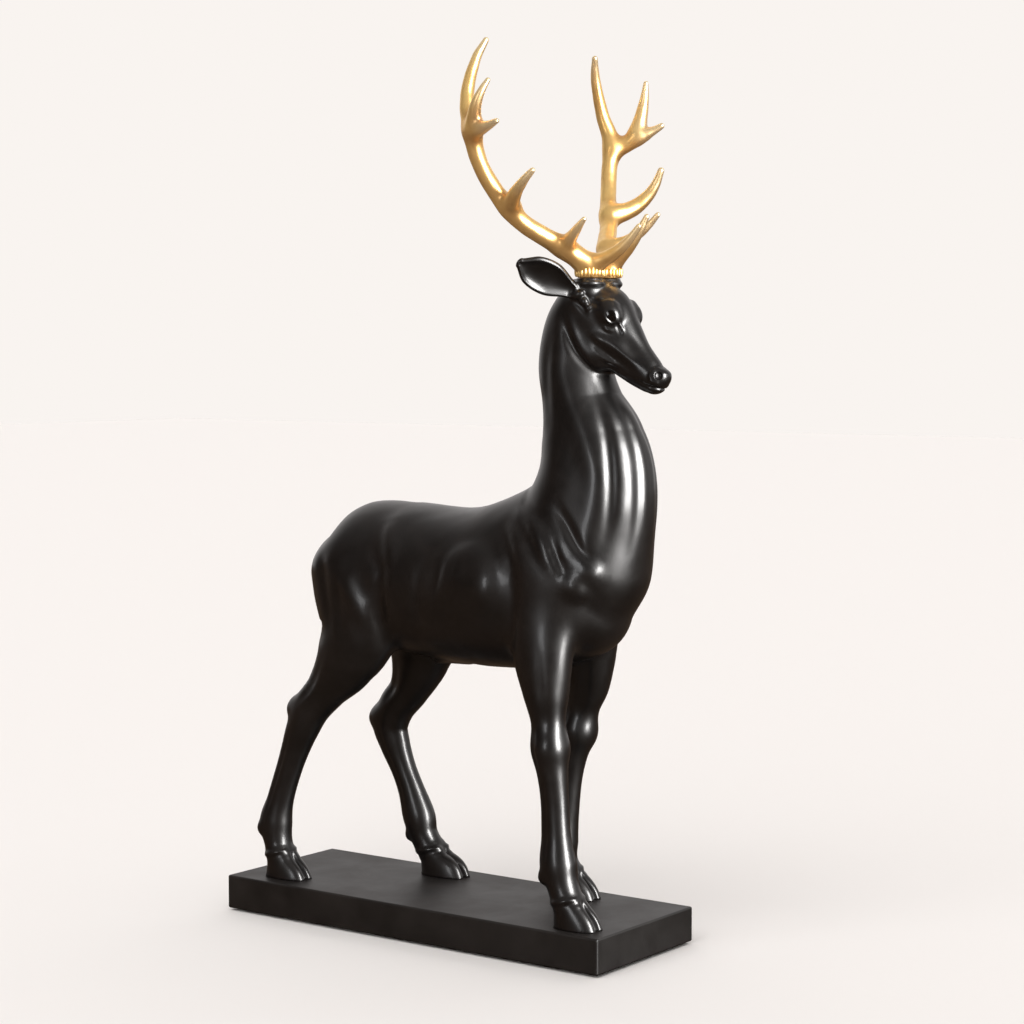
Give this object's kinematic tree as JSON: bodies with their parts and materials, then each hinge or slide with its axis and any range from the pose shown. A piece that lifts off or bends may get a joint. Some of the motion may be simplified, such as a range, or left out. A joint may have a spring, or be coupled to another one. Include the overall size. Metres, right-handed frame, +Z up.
{
  "type": "stag figurine",
  "caption": "Standing antlered stag statuette, black with gilt antlers, cast on an oblong plinth; shelf ornament.",
  "frame": {"origin": "middle of the underside, on the surface the figurine stands on", "axes": "+Z up, +X the way the stag faces, along the plinth, +Y to the stag's left"},
  "size_m": [0.3451, 0.1968, 0.6196],
  "materials": {
    "stag_lacquer": "satin black lacquer over cast resin",
    "plinth_paint": "eggshell black paint over cast resin",
    "gilt": "metallic gold paint over cast resin",
    "pad_foam": "matt black foam sheet"
  },
  "bodies": {
    "root": {"base_pad": "pad_foam", "plinth": "plinth_paint", "stag": "stag_lacquer", "antler_right": "gilt", "antler_left": "gilt"}
  },
  "joints": []
}
